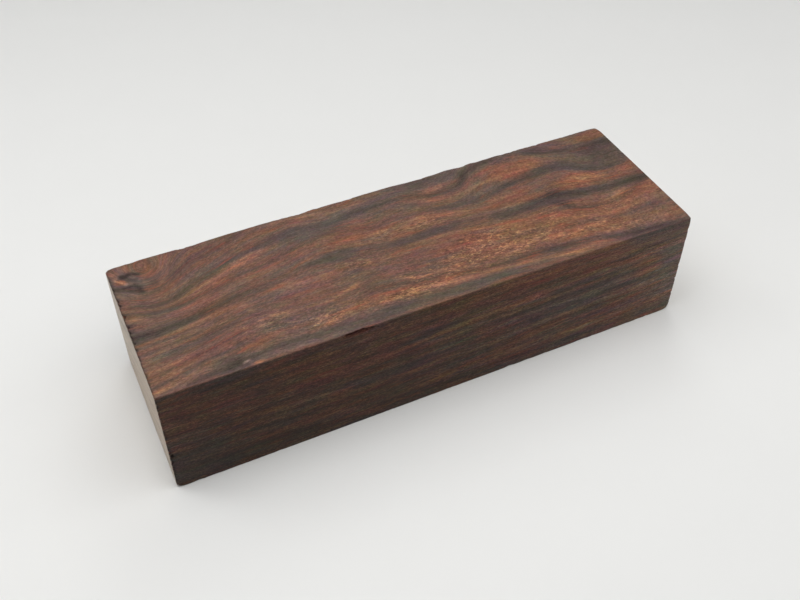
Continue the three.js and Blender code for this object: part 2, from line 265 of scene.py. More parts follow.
    (0.45, ((31, -12.3, 0.5), (35, -12.7, 0.8), (37.5, -13.1, 0.7), (40.5, -12.2, 0.7), (43, -13, 0.8),
     (45.6, -12.4, 0.9), (47, -12.1, 0.1))),
)

# Patches of the figure on the top: (x, y, half extent along x, half extent along y, tone)
TOP_PATCHES = (
    # dark
    (14, 18.2, 7, 1.6, -0.6), (9, 19.5, 4, 0.8, -0.4), (31, 19, 4, 1, -0.35), (60, 9.5, 5.5, 3.6, -0.6),
    (58, 10, 6, 4, -0.22), (-17, 2.8, 5, 1.4, -0.3), (44.5, 18.3, 3.5, 1.3, -0.5), (8, -18.7, 9, 1.3, -0.4),
    (31, 18.6, 6, 1.2, -0.25), (57, 12, 4, 1.5, -0.35), (44, 10.9, 4.5, 0.9, -0.5),
    (40, 1.4, 2.6, 0.9, -0.7), (38.8, 1, 1.6, 1.2, -0.4), (61, -2.3, 4, 1.1, -0.3),
    (-14, 3.8, 2, 0.6, -0.35), (-5, 7.6, 3, 1.2, -0.25), (-14.5, -3.2, 3, 2.2, -0.25),
    (-13, -9.6, 1.4, 0.8, -0.4), (-1.8, -7.5, 1, 1, -0.4), (4, -7.2, 3.5, 0.6, -0.25),
    (10.6, -4.8, 1.2, 0.6, -0.6), (10, -7.4, 2, 0.6, -0.3), (16.9, -10.5, 0.6, 0.4, -0.5),
    (-12, -18.4, 10, 1.5, -0.35), (-47, -6.3, 2.5, 1.4, -0.3), (-44.4, -13.1, 0.7, 0.5, -0.7),
    (-55, 11.7, 1.2, 0.8, -0.3), (50, -17.7, 1, 0.5, -0.4), (-22, 13.2, 6, 3, -0.15),
    (-44.8, -19.5, 1.2, 0.4, -0.7), (38.8, -2.4, 2.2, 1.3, -0.5), (40.6, -3.6, 1.6, 1, -0.35),
    (-46.8, -17.9, 2.8, 1.9, -1.1), (23, 16.4, 2, 1.8, -0.5), (40.4, -1.3, 2, 2, -0.45),
    # light
    (-44.6, -18.6, 0.7, 0.42, 3.2), (-42.4, -19.7, 1.2, 0.4, 1.2), (-59.8, 18.5, 1, 1, 0.6),
    (-57, 7.2, 4, 1.2, 0.2), (14.3, 14.7, 2.4, 0.8, 0.75), (5.4, 5, 1.1, 0.45, 0.7),
    (7.4, 4.4, 1, 0.4, 0.6), (-10.2, 4.6, 0.5, 1.4, 0.55), (-12, 6.7, 2, 0.5, 0.4),
    (-3.5, 5.8, 2.6, 0.5, 0.5), (-3, 2.4, 1.6, 0.4, 0.45), (-7, 11.8, 2.5, 1.6, 0.25),
    (39, 14.4, 5, 2, 0.3), (35, 6.3, 4, 1, 0.15), (48.3, 4.1, 3.4, 1.4, 0.45), (62, -6.5, 2.6, 2, 0.35),
    (62, 17.3, 1.5, 1, 0.4), (54.5, 2.2, 1.2, 1, 0.5), (61, 2.2, 2, 1, 0.45), (57.3, -0.6, 1.2, 0.6, 0.35),
    (54.2, -0.5, 1.2, 0.6, 0.3), (54.2, -4.9, 1.4, 0.8, 0.5), (45, -3.6, 4, 0.7, 0.3),
    (52, -9.5, 12, 1.8, 0.42), (36.5, -5.6, 2.4, 0.6, 0.6), (36, -7.2, 2.6, 0.8, 0.45),
    (46, -16, 1.1, 0.7, 0.8), (43.5, -15.7, 0.6, 0.4, 0.5), (57, -16.3, 2.6, 1, 0.45),
    (62, -18.4, 1.8, 1.1, 0.4), (28, -10.6, 6, 1.6, 0.3), (22.5, -12.6, 2.5, 0.7, 0.45),
    (34.2, -18.8, 1.4, 0.8, 0.4), (-26, -13, 0.9, 0.5, 0.9), (-25.2, -15.3, 1.3, 0.5, 0.9),
    (-24, -14.4, 5, 1.7, 0.3), (-10.6, -13.2, 1, 0.4, 0.9), (-7.4, -13.5, 0.7, 0.4, 0.8),
    (-5.3, -13.8, 0.7, 0.6, 0.8), (-38.6, -10.7, 0.7, 0.5, 0.8), (-36.8, -10.8, 0.7, 0.4, 0.6),
    (-37.9, -9.1, 0.5, 0.5, 0.7), (-39, -5.5, 0.8, 0.5, 0.8), (-40, -3.4, 1.5, 0.5, 0.7),
    (-10.3, -2.1, 0.6, 0.8, 0.8), (-6.5, -2.8, 1.5, 0.4, 0.35), (-8.3, -7.4, 0.6, 0.4, 0.6),
    (16.9, -5.2, 0.5, 0.7, 0.9), (16.6, -7.5, 0.5, 0.9, 0.7), (17, -9.3, 0.8, 0.5, 0.9),
    (20.2, -6.4, 0.8, 0.5, 0.7), (24.5, -7.3, 0.8, 0.4, 0.7), (7.2, -11.3, 1, 0.5, 1),
    (9.3, -9.6, 0.8, 0.4, 0.5), (11.2, -12.6, 0.8, 0.4, 0.6), (23.7, -10.7, 0.8, 0.4, 0.5),
    (21, -10.3, 1, 0.4, 0.4),
)

# Bands of the figure on the front: (half width, path as (x, z, tone)), and how strongly they count
FRONT_CONTRAST = 1.1
FRONT_BANDS = (
    # dark
    (0.6, ((-64, 17.6, -0.2), (-60, 17, -0.35), (-52, 16.1, -0.35), (-38, 16.1, -0.4), (-26, 16.6, -0.3),
     (-20, 15.6, -0.4), (-12, 16.7, -0.3), (2, 17.3, -0.35), (10, 17.7, -0.4), (26, 18, -0.45),
     (34, 18, -0.7), (40, 18.1, -0.8), (46, 18.3, -0.6), (52, 18.8, -0.4), (64, 19.5, -0.3))),
    (0.6, ((-60, 10.2, -0.5), (-50, 10.3, -0.6), (-40, 10, -0.6), (-34, 9.4, -0.5), (-24, 8.5, -0.5),
     (-10, 9.4, -0.45), (0, 9.3, -0.4), (8, 9, -0.5), (16, 9, -0.4), (21, 9.4, -0.7), (24, 10.6, -0.4),
     (38, 10.9, -0.6), (46, 11.1, -0.4), (56, 11.4, -0.3))),
    (0.5, ((33, 8.5, -0.3), (40, 8.3, -0.4), (44, 8.4, -0.6), (50, 8.7, -0.45), (58, 9.1, -0.3))),
    (0.9, ((-58, 5.4, -0.4), (-50, 4.8, -0.7), (-40, 5, -0.8), (-36, 4.4, -0.8), (-32, 3.6, -0.8),
     (-27, 3.2, -0.6), (-22, 2.5, -0.5))),
    (0.5, ((-46, 24.6, -0.4), (-38, 24.3, -0.55), (-32, 24.8, -0.5), (-20, 25.2, -0.35), (-10, 25, -0.45),
     (-3, 25, -0.55), (4, 25.6, -0.35), (16, 26.2, -0.5), (24, 26.4, -0.45), (31, 26, -0.2))),
    (0.7, ((-57, 27.5, -0.2), (-51, 27.7, -0.9), (-47, 27.4, -0.5), (-42, 26.7, -0.4), (-34, 27, -0.5),
     (-30, 27.6, -0.2))),
    (0.4, ((-62, 22.2, -0.3), (-54, 22.2, -0.3), (-48, 21.5, -0.35), (-44, 21.8, -0.5), (-40, 21.8, -0.2))),
    (0.5, ((-22, 20.8, -0.5), (-14, 20.7, -0.5), (-10, 20.8, -0.6), (-6, 21.5, -0.4), (-1, 21.9, -0.6),
     (3, 22, -0.3))),
    (0.5, ((14, 24, -0.4), (17, 23.4, -0.6), (21, 23.2, -0.4), (26, 24.6, -0.5), (32, 23.9, -0.4),
     (39, 24.1, -0.9), (42, 24.2, -0.9), (46, 23.5, -0.6), (49, 24.6, -0.7), (52, 25, -1), (57, 25.2, -0.5),
     (64, 25.5, -0.4))),
    (0.5, ((27, 20.5, -0.4), (31, 20.5, -0.6), (35, 20.8, -0.4), (40, 20.3, -0.8), (43, 20.3, -0.6),
     (47, 20.8, -0.3))),
    (0.5, ((-56, 13, -0.3), (-48, 13.4, -0.4), (-44, 13.3, -0.5), (-40, 13.2, -0.2))),
    (0.5, ((-13, 13.5, -0.4), (-8, 13.7, -0.55), (2, 14, -0.4), (12, 13.8, -0.3), (24, 13.8, -0.6),
     (36, 14.4, -0.6), (45, 15, -1), (49, 15, -0.7), (56, 14.4, -0.3))),
    (0.7, ((-5, 2.8, -0.5), (5, 2.6, -0.8), (9, 2.8, -0.2), (16, 3.2, -0.7), (24, 2.6, -0.5),
     (42, 2.5, -0.4), (52, 2.3, -0.5), (64, 2, -0.4))),
    (1.0, ((46, 29.6, -0.4), (52, 29.2, -0.7), (58, 29, -0.7), (64, 28.8, -0.6))),
    # light
    (0.55, ((-45, 14.9, 0.3), (-36, 13.9, 0.7), (-32, 13.5, 0.9), (-24, 13, 0.8), (-20, 13.6, 0.4),
     (-13, 15.2, 0.5), (-8, 15, 0.3), (0, 15.2, 0.5), (12, 15.8, 0.5), (20, 16.4, 0.5), (28, 16.3, 0.5),
     (38, 15.6, 0.5), (42, 16.8, 0.4), (54, 17.3, 0.7), (64, 18.3, 0.8))),
    (0.55, ((-30, 20.2, 0.3), (-26, 19.2, 0.5), (-20, 18.5, 0.6), (-13, 19.2, 0.8), (-4, 20, 0.9),
     (2, 20.6, 0.9), (12, 21.2, 0.9), (18, 20.9, 0.8), (27, 21.8, 0.6), (38, 22.3, 0.6), (47, 21.6, 0.5),
     (53, 22.5, 0.8), (64, 23, 0.8))),
    (0.4, ((-4, 17.9, 0.8), (4, 18, 0.6), (12, 18.7, 0.7), (17, 18.6, 0.6), (31, 19.3, 0.4),
     (37, 18.9, 0.2))),
    (0.5, ((-64, 16.3, 0.9), (-61, 16.1, 0.6), (-56, 15.4, 0.5), (-51, 15.3, 0.1))),
    (0.5, ((-54, 11.3, 0.2), (-38, 10.9, 0.5), (-28, 10.8, 0.2), (-13, 10.9, 0.35), (1, 11, 0.6),
     (15, 11.1, 0.8), (23, 11.9, 0.6), (34, 12.2, 0.6), (46, 12.7, 0.4), (56, 12.9, 0.5), (64, 13, 0.7))),
    (0.7, ((-36, 6.2, 0.3), (-26, 5.9, 0.9), (-20, 4.6, 0.4), (-9, 5.4, 0.3), (6, 5, 0.35), (14, 5.7, 0.6),
     (26, 5.9, 0.4), (37, 4.9, 0.8), (44, 5.6, 0.3), (54, 6.8, 0.4), (64, 6.9, 0.7))),
    (0.5, ((-64, 20.3, 0.5), (-56, 19, 0.3), (-46, 17.6, 0.2))),
    (0.45, ((-8, 27, 0.3), (4, 26.7, 0.4), (9, 26.8, 0.9), (14, 27.3, 0.4), (28, 27.8, 0.3))),
    (0.45, ((-31, 23.4, 0.4), (-22, 22.5, 0.3), (-8, 23.3, 0.4), (-4, 23.2, 0.9), (1, 23.3, 0.4))),
    (0.45, ((-36, 25.4, 0.2), (-30, 25.7, 0.6), (-25, 25.7, 0.5), (-20, 26.5, 0.6), (-15, 26.2, 0.2))),
)
# A band that starts or stops inside the block fades out over this length.
BAND_FADE = 1.2

# Where the wood is redder and more orange (above 0) or greyer (below 0): (x, y, half extents, amount)
HUES = (
    (20, -8, 20, 6, 0.55), (14.3, -4.7, 3, 1.5, 0.4), (28, -5, 6, 1.6, 0.5), (-7, -14, 7, 1.6, 0.7),
    (16, -11.3, 4, 2, 0.35), (31, -11.3, 4, 2, 0.35), (34, 13.5, 7, 2.8, 0.8), (28, 4, 7, 1.8, 0.6),
    (47, 3, 5, 2, 1.0), (45, -13.5, 6, 1.6, 0.5), (50, -8.5, 13, 3, 0.4), (-12, 6.8, 4, 1.3, 0.7),
    (-1, 4.6, 6, 1.2, 0.35), (9, 5.6, 8, 1.4, 0.4), (-41, -14.5, 3.5, 1.4, 0.45),
    (-55, -13.4, 3.5, 1.2, 0.4), (-28, -3.6, 6, 2, -0.4), (-45, -2.6, 5, 1.4, 0.25), (61, 17, 3, 1.3, 0.4),
    # The entry at (-28, -18.8) greys the band at the front: partly the wood's grey, partly a painted
    # reflection
    (61, 2.4, 3, 1.2, 0.5), (-28, -18.8, 20, 1.5, -1.0), (16, 18.6, 11, 1.8, -1.2), (30, 19, 6, 1.2, -0.8),
    (-20, 14, 8, 3, -0.6), (-6, 15.5, 8, 1.4, -0.5), (17, 7.2, 5, 0.9, -0.8), (58, 9, 8, 3.5, -1.4),
    (44, 10.6, 5, 1.2, -0.5), (-59, -2.6, 7, 1.4, -1.2), (1, 0.7, 6, 0.8, -0.7), (-14, 2.6, 2.5, 1, -0.5),
    (-60, 13, 4, 4, -0.35), (-40, 11, 8, 2, -0.4), (25, -1.6, 5, 0.8, -0.5), (60, -19.5, 6, 1, -0.6),
    (45, -1, 16, 1.6, -0.5), (17, -20, 14, 0.6, 0.6), (7, -18.5, 9, 1.4, -0.6), (48.3, 4, 4, 1.6, 0.5),
    (56, 14.5, 10, 1.6, -0.5), (-60.5, 14.5, 3, 2.5, -0.8), (-44.6, -18.7, 1, 0.6, -0.8),
    (-42.4, -19.7, 1.4, 0.5, 0.8), (-47, -18, 3, 2, -1.4), (44.5, 18.2, 4, 1.6, -0.8),
    (38, 14, 4, 1.8, 0.5), (-56, 15.5, 2.6, 3, 0.5), (60, 17.2, 4, 1.6, 1.2), (31, 2.2, 6, 0.9, 0.8),
    (62, -6.5, 3, 2.5, 0.5), (52, -19, 7, 1.2, -0.6), (-17, 2.8, 6, 1.5, -0.7),
    (-61.7, 14.5, 1.3, 0.9, 1.8),
)

# The same on the front: (x, z, half extents, amount)
FRONT_HUES = (
    (-44, 23, 26, 7, 0.6), (-24, 20.5, 12, 3, 0.5), (-58, 19.5, 5, 3, 0.3), (16, 28, 34, 2.6, 0.8),
    (22, 24.5, 30, 2.5, 0.3), (46, 25.5, 12, 3, 0.3), (-28, 8, 14, 4, 0.3), (18, 7, 9, 3, 0.4),
    (-58, 4, 10, 4, -0.7), (2, 14, 14, 3, -0.3), (30, 16, 14, 4, -0.5), (62, 16, 4, 12, -0.9),
    (-46, 28.6, 6, 1.6, -1.4), (55, 28.6, 9, 1.6, -1), (-56, 11, 8, 3, -0.4), (40, 1.5, 26, 1.5, -0.5),
)

# The sawn sides start just below the top. Their colour carries painted shade: darker than the planed top for
# the light they get less of, and painted lighter towards the right end. How bright they are next to the
# planed top, at their left and right and on the ends, how late along the block they brighten, and their
# warmth
SIDE_START = 0.25
SIDE_SOFTNESS = 0.08
DARKEST_SIDE = 0.37
PALEST_SIDE = 1.0
BRIGHTENING = 3.2
END_SHADE = 1.2
SIDE_HUE = 0.05

# Where short curly flecks cross the grain: (x, y, half extents, amount)
CURLS = (
    (-37, -10, 5, 3, 0.8), (-25, -14, 6, 2.5, 1.0), (-6, -14.5, 9, 2, 1.0), (10, -10.5, 12, 4, 1.0),
    (18, -6, 7, 4, 0.9), (28, -11, 8, 3, 0.7), (40, -13, 7, 2, 0.6), (35, -6, 4, 2.5, 0.6),
    (6, 4.8, 6, 1.6, 0.7), (-4, 5, 5, 1.8, 0.6), (48, 3, 5, 2, 0.6), (-12, -2, 8, 3, 0.5),
    (50, -16, 10, 3, 0.5), (52, -9, 9, 2.5, 0.4),
)
# The sides have a little, in patches: (middle, swing, wave length)
SIDE_CURL = (0.175, 0.175, 25)

# A thin dark line runs along the arrises of the left end. Its width and tone: (middle, swing, length)
DARK_LINE_WIDTH = (0.34, 0.14, 2.2)
DARK_LINE_TONE = (1.2, 0.5, 3.5)
# How deep into the faces the painted shade round the left end's chips reaches
CHIP_SHADE_DEPTH = 1

# The knot in the upper left back corner: its middle, its radius across and down, and how far it lifts the
# layers
KNOT = (-56.5, 16.5)
KNOT_RADIUS = 5.2
KNOT_DEPTH = 13.0
KNOT_LIFT = 9.0

# Dark bark pockets beside the knot, and the pale wood between them: (points as (x, y), half width, tone)
POCKETS = (
    # the upper pocket: its body, the thin line to its right and its lower lobe
    (((-61.2, 16.1), (-60.1, 16.1)), 0.64, -3.0),
    (((-59.6, 16.6), (-57.6, 15.7)), 0.36, -2.2),
    (((-60, 14.9), (-58.6, 14.2)), 0.45, -1.2),
    # the lower pocket: its upper edge, its body and its foot
    (((-64, 13.2), (-62.8, 12.6), (-61.7, 12.3)), 0.65, -1.0),
    (((-61.4, 12.5), (-60.3, 12.5), (-59.2, 12.7), (-58.4, 11.4), (-58, 9.8)), 0.42, -1.5),
    (((-60.4, 11.3), (-58.9, 10.8)), 0.75, -1.3),
    # the pale wood between and above them
    (((-62.7, 15.5), (-61.6, 14.5), (-60.8, 13.4)), 0.4, 1.8),
    (((-60.3, 13.6), (-59.5, 13.2)), 0.28, 0.8),
    (((-59.8, 15.8), (-58.8, 15.1)), 0.25, 0.9),
    (((-62.3, 17.9), (-61.6, 17.4)), 0.5, 0.7),
    (((-63.2, 15.9), (-62.4, 16.4)), 0.4, 0.6),
    (((-63.4, 10.8), (-62.4, 9.6)), 0.45, 0.6),
    (((-61, 10.2), (-59.5, 8.9)), 0.5, 0.35),
    # rings of the knot
    (((-50.4, 19), (-51, 16.4), (-52, 13), (-53.5, 11.1)), 0.35, 0.45),
    (((-52.2, 15.4), (-53, 13), (-54, 11)), 0.4, 0.3),
    (((-57.4, 14.2), (-57, 12), (-56, 10.5), (-54.5, 10.4), (-53.4, 11.4)), 0.45, 0.25),
    (((-55.6, 17.8), (-55, 14.5)), 0.4, 0.25),
    (((-53.8, 17.2), (-53.2, 14.2)), 0.35, -0.3),
)
POCKET_DEPTH = 6


def bump(distance, width):
    return np.exp(-(distance / width) ** 2)

def soft_step(distance, softness):
    """0 where the distance is well below 0, and 1 where it is well above."""
    return 1 / (1 + np.exp(-distance / softness))

class Waves:
    """Smooth seeded noise, from about -1 to 1: waves in random directions, of lengths near the one given."""

    def __init__(self, seed, length, count=14):
        rng = np.random.default_rng(seed)
        direction = rng.normal(size=(count, 3))
        direction /= np.linalg.norm(direction, axis=1)[:, None]
        self.vectors = direction * (2 * np.pi / (length * rng.uniform(0.6, 1.7, count)))[:, None]
        self.phases = rng.uniform(0, 2 * np.pi, count)

    def at(self, points):
        return np.sin(points @ self.vectors.T + self.phases).sum(1) / np.sqrt(len(self.phases) / 2) / 1.6

def uneven(seed, middle, swing, length, points):
    """An amount that swings about its middle in waves of one length."""
    return middle + swing * Waves(seed, length).at(points)

# The shape

def stations(size, spans):
    """Positions from 0 to size: the spans' own spacing in the middle, and rings beside both ends."""
    rings = np.array(ARRIS_RINGS)
    start, last = rings[-1], size - rings[-1]
    middle = [[start]]
    for reach, spacing in spans:
        end = min(reach, last)
        middle.append(np.linspace(start, end, round((end - start) / spacing) + 1)[1:])
        start = end
    return np.concatenate([rings[:-1], *middle, size - rings[-2::-1]])

def box_shell(counts):
    """The points of a lattice on a box's six faces, as steps along x, y and z, and the box's quads."""
    corners = []
    for axis in range(3):
        first, second = (axis + 1) % 3, (axis + 2) % 3
        a, b = np.meshgrid(np.arange(counts[first] - 1), np.arange(counts[second] - 1), indexing="ij")
        for side in (0, counts[axis] - 1):
            turn = ((0, 0), (1, 0), (1, 1), (0, 1))
            quad = np.zeros((a.size, 4, 3), int)
            for place, (da, db) in enumerate(turn if side else turn[::-1]):
                quad[:, place, axis] = side
                quad[:, place, first] = a.ravel() + da
                quad[:, place, second] = b.ravel() + db
            corners.append(quad)
    corners = np.concatenate(corners)
    keys = (corners[..., 0] * counts[1] + corners[..., 1]) * counts[2] + corners[..., 2]
    _, first_use, faces = np.unique(keys, return_index=True, return_inverse=True)
    return corners.reshape(-1, 3)[first_use], faces.reshape(keys.shape)

def easing_radius(points):
    """How far the arrises and corners are rounded near points measured from the block's middle."""
    half = np.array([LENGTH, WIDTH, HEIGHT]) / 2
    radius = np.full(len(points), ARRIS_RADIUS)
    for *side, worn in WORN_CORNERS:
        distance = np.linalg.norm(points - half * side, axis=1)
        radius += (worn - ARRIS_RADIUS) * bump(distance, CORNER_REACH)
    places, radii = np.array(BACK_ARRIS).T
    from_back = np.hypot(points[:, 1] - half[1], points[:, 2] - half[2])
    ragged = np.interp(points[:, 0], places, radii) - ARRIS_RADIUS
    radius += ragged * bump(from_back, BACK_ARRIS_REACH)
    short, long = UNEVEN_LENGTHS
    waves = np.abs(Waves(SEED, short).at(points)) * np.abs(Waves(SEED + 1, long).at(points))
    waves *= 1 - RIGHT_END_CALM * bump(points[:, 0] - half[0], RIGHT_END_REACH)
    return np.maximum(radius + UNEVEN * waves + UNEVEN_SHIFT, LEAST_RADIUS)

def blunt(points):
    """Moves points on the sharp block's faces onto the blunt block's, and gives their outward directions."""
    radius = easing_radius(points)[:, None]
    core = np.array([LENGTH, WIDTH, HEIGHT]) / 2 - radius
    inner = np.clip(points, -core, core)
    outward = points - inner
    outward /= np.linalg.norm(outward, axis=1)[:, None]
    return inner + outward * radius, outward

def chips():
    """Every chip, as (middle, half extents, direction that the cut goes in)."""
    for y, reach, width in LEFT_TOP_CHIPS:
        yield (LEFT, y, HEIGHT), (TORN_SHARE * reach, width, CHIP_DEPTH), (1, 0, -1)
    for z, reach, height in LEFT_FRONT_CHIPS:
        yield (LEFT, FRONT, z), (TORN_SHARE * reach, CHIP_DEPTH, height), (1, 1, 0)
    yield from LONG_CHIPS
    rng = np.random.default_rng(SEED)
    for start, end, inward, count in SCATTERED_CHIPS:
        for i in range(count):
            share = (i + rng.uniform(0.1, 0.9)) / count
            size = rng.uniform(*SCATTERED_SIZES, 3)
            yield tuple(np.array(start) + (np.array(end) - start) * share), tuple(size), inward

def cut_chips(points):
    """Pushes the points inside each chip onto its far side. Gives the depth cut at each point."""
    depth = np.zeros(len(points))
    wobble = uneven(SEED + 2, *CHIP_WOBBLE, points)
    for middle, size, inward in chips():
        direction = np.array(inward, float) / np.linalg.norm(inward)
        extents = np.array(size) * wobble[:, None]
        local = (points - middle) / extents
        step = direction / extents
        inside = (local ** 2).sum(1) < 1
        a = (step ** 2).sum(1)[inside]
        b = (local * step).sum(1)[inside]
        c = (local ** 2).sum(1)[inside] - 1
        travel = (-b + np.sqrt(b * b - a * c)) / a
        points[inside] += travel[:, None] * direction
        depth[inside] += travel
    return depth

# The figure

def along(path, x, column):
    """A path's value at each x, with its corners softened."""
    places = [point[0] for point in path]
    values = [point[column] for point in path]
    shifts = (-1.2, -0.6, 0, 0.6, 1.2)
    return sum(np.interp(x + shift, places, values) for shift in shifts) / len(shifts)

def band_tone(bands, x, y):
    """The summed tone of bands that run along x."""
    total = np.zeros(len(x))
    for half, path in bands:
        slope = along(path, x + 0.5, 1) - along(path, x - 0.5, 1)
        reach = half * np.sqrt(1 + slope ** 2)
        before = np.maximum(path[0][0] - x, 0) * (path[0][0] > LEFT)
        after = np.maximum(x - path[-1][0], 0) * (path[-1][0] < RIGHT)
        share = bump(y - along(path, x, 1), reach) * bump(before + after, BAND_FADE)
        total += along(path, x, 2) * share
    return total

def patches(spots, x, y):
    """The summed amount of soft oval patches."""
    total = np.zeros(len(x))
    for px, py, rx, ry, amount in spots:
        total += amount * bump(x - px, rx) * bump(y - py, ry)
    return total

def line_distance(path, x, y):
    """The distance from each point to a line through the path's points."""
    nearest = np.full(len(x), np.inf)
    for (ax, ay), (bx, by) in zip(path, path[1:]):
        dx, dy = bx - ax, by - ay
        share = np.clip(((x - ax) * dx + (y - ay) * dy) / (dx * dx + dy * dy), 0, 1)
        nearest = np.minimum(nearest, np.hypot(x - ax - share * dx, y - ay - share * dy))
    return nearest

def layer_number(x, y):
    """The growth layer at places on the top, straight between neighbouring guides, then softened."""
    xs = np.arange(LEFT - GRID_MARGIN, RIGHT + GRID_MARGIN + GRID_STEP, GRID_STEP)
    ys = np.arange(GRID_REACH[0], GRID_REACH[1] + GRID_STEP, GRID_STEP)
    levels = np.array([level for level, _ in LAYERS], float)
    guides = np.stack([along(path, xs, 1) for _, path in LAYERS])
    grid = np.stack([np.interp(ys, guides[:, i], levels) for i in range(len(xs))])
    weights = np.array([1, 4, 7, 8, 7, 4, 1]) / 32
    for axis in (0, 1, 1):
        padded = np.pad(grid, [(3, 3) if a == axis else (0, 0) for a in range(2)], mode="edge")
        pieces = [np.take(padded, range(i, i + grid.shape[axis]), axis) for i in range(len(weights))]
        grid = sum(weight * piece for weight, piece in zip(weights, pieces))
    u = np.clip((x - xs[0]) / GRID_STEP, 0, len(xs) - 1.001)
    v = np.clip((y - ys[0]) / GRID_STEP, 0, len(ys) - 1.001)
    i, j = u.astype(int), v.astype(int)
    fu, fv = u - i, v - j
    near = grid[i, j] * (1 - fv) + grid[i, j + 1] * fv
    far = grid[i + 1, j] * (1 - fv) + grid[i + 1, j + 1] * fv
    return near * (1 - fu) + far * fu

def dark_line_and_chip_shade(points, end):
    """The thin dark line along the arrises of the left end, and painted shade over the wood round their
    chips.
    """
    x, y, z = points.T
    width = uneven(SEED + 4, *DARK_LINE_WIDTH, points)
    strength = uneven(SEED + 5, *DARK_LINE_TONE, points)
    tone = -strength * bump(x - LEFT, width) * (1 - end)
    # Painted shade over each chip torn from the left end, for the shade in its hollow
    for place, reach, half in LEFT_TOP_CHIPS:
        tone += PAINTED_CHIP_SHADE * bump(x - LEFT, reach) * bump(y - place, half) * bump(HEIGHT - z, CHIP_SHADE_DEPTH)
    for place, reach, half in LEFT_FRONT_CHIPS:
        tone += PAINTED_CHIP_SHADE * bump(x - LEFT, reach) * bump(z - place, half) * bump(y - FRONT, CHIP_SHADE_DEPTH)
    return tone

def painted_side_shade(x, side, end):
    """Painted shade: how bright the wood is next to the planed top. The sawn sides are darker, most of all to
    the left.
    """
    share = np.clip((x - LEFT) / LENGTH, 0, 1)
    shade_along_block = DARKEST_SIDE + (PALEST_SIDE - DARKEST_SIDE) * share ** BRIGHTENING
    return 1 - side * (1 - (shade_along_block * (1 - end) + END_SHADE * end))

def figure(points, end):
    """The wood's fields at each point, as the material reads them. end is 1 on the ends' faces."""
    x, y, z = points.T
    depth = HEIGHT - z
    level = y - SLANT * depth
    front_z = HEIGHT + (level - FRONT) / SLANT
    on_top = soft_step(level - FRONT, TURN_SOFTNESS)
    on_front = 1 - on_top
    side = soft_step(depth - SIDE_START, SIDE_SOFTNESS)

    knot_share = bump(np.hypot(x - KNOT[0], y - KNOT[1]), KNOT_RADIUS) * bump(depth, KNOT_DEPTH)
    layer = layer_number(x, level) + KNOT_LIFT * knot_share
    across = z + 0.5 * y

    tone = (band_tone(TOP_BANDS, x, level) + patches(TOP_PATCHES, x, level)) * on_top
    tone += FRONT_CONTRAST * band_tone(FRONT_BANDS, x, front_z) * on_front
    for path, half, amount in POCKETS:
        tone += amount * bump(line_distance(path, x, y), half) * bump(depth, POCKET_DEPTH)
    tone += dark_line_and_chip_shade(points, end)

    hue = patches(HUES, x, level) * on_top
    hue += side * (SIDE_HUE + patches(FRONT_HUES, x, front_z) * on_front)

    side_curl = uneven(SEED + 3, *SIDE_CURL, points)
    return {
        "grain": np.stack([x, layer, across], 1),
        "tone": tone,
        "hue": hue,
        "curl": patches(CURLS, x, level) * on_top + side_curl * on_front,
        "shade": painted_side_shade(x, side, end),
        "side": side,
        "end": end,
    }

def ironwood_mesh():
    """The block's mesh, with its fields as attributes."""
    spans = (SPACING_ALONG, SPACING_ACROSS, SPACING_ACROSS)
    places = [stations(size, span) for size, span in zip((LENGTH, WIDTH, HEIGHT), spans)]
    steps, faces = box_shell([len(p) for p in places])
    half = np.array([LENGTH, WIDTH, HEIGHT]) / 2
    sharp = np.stack([places[axis][steps[:, axis]] for axis in range(3)], 1) - half
    points, outward = blunt(sharp)
    points[:, 2] += HEIGHT / 2
    torn = cut_chips(points)
    fields = figure(points, outward[:, 0] ** 2)
    fields["torn"] = np.clip(torn / FULLY_TORN, 0, 1)

    mesh = bpy.data.meshes.new("ironwood_figure")
    mesh.from_pydata((points * MM).tolist(), [], faces.tolist())
    mesh.polygons.foreach_set("use_smooth", np.ones(len(faces), bool))
    for name, values in fields.items():
        kind, key = ("FLOAT_VECTOR", "vector") if values.ndim == 2 else ("FLOAT", "value")
        attribute = mesh.attributes.new(name, kind, "POINT")
        attribute.data.foreach_set(key, values.astype(np.float32).ravel())
    mesh.update()
    return mesh

# The material

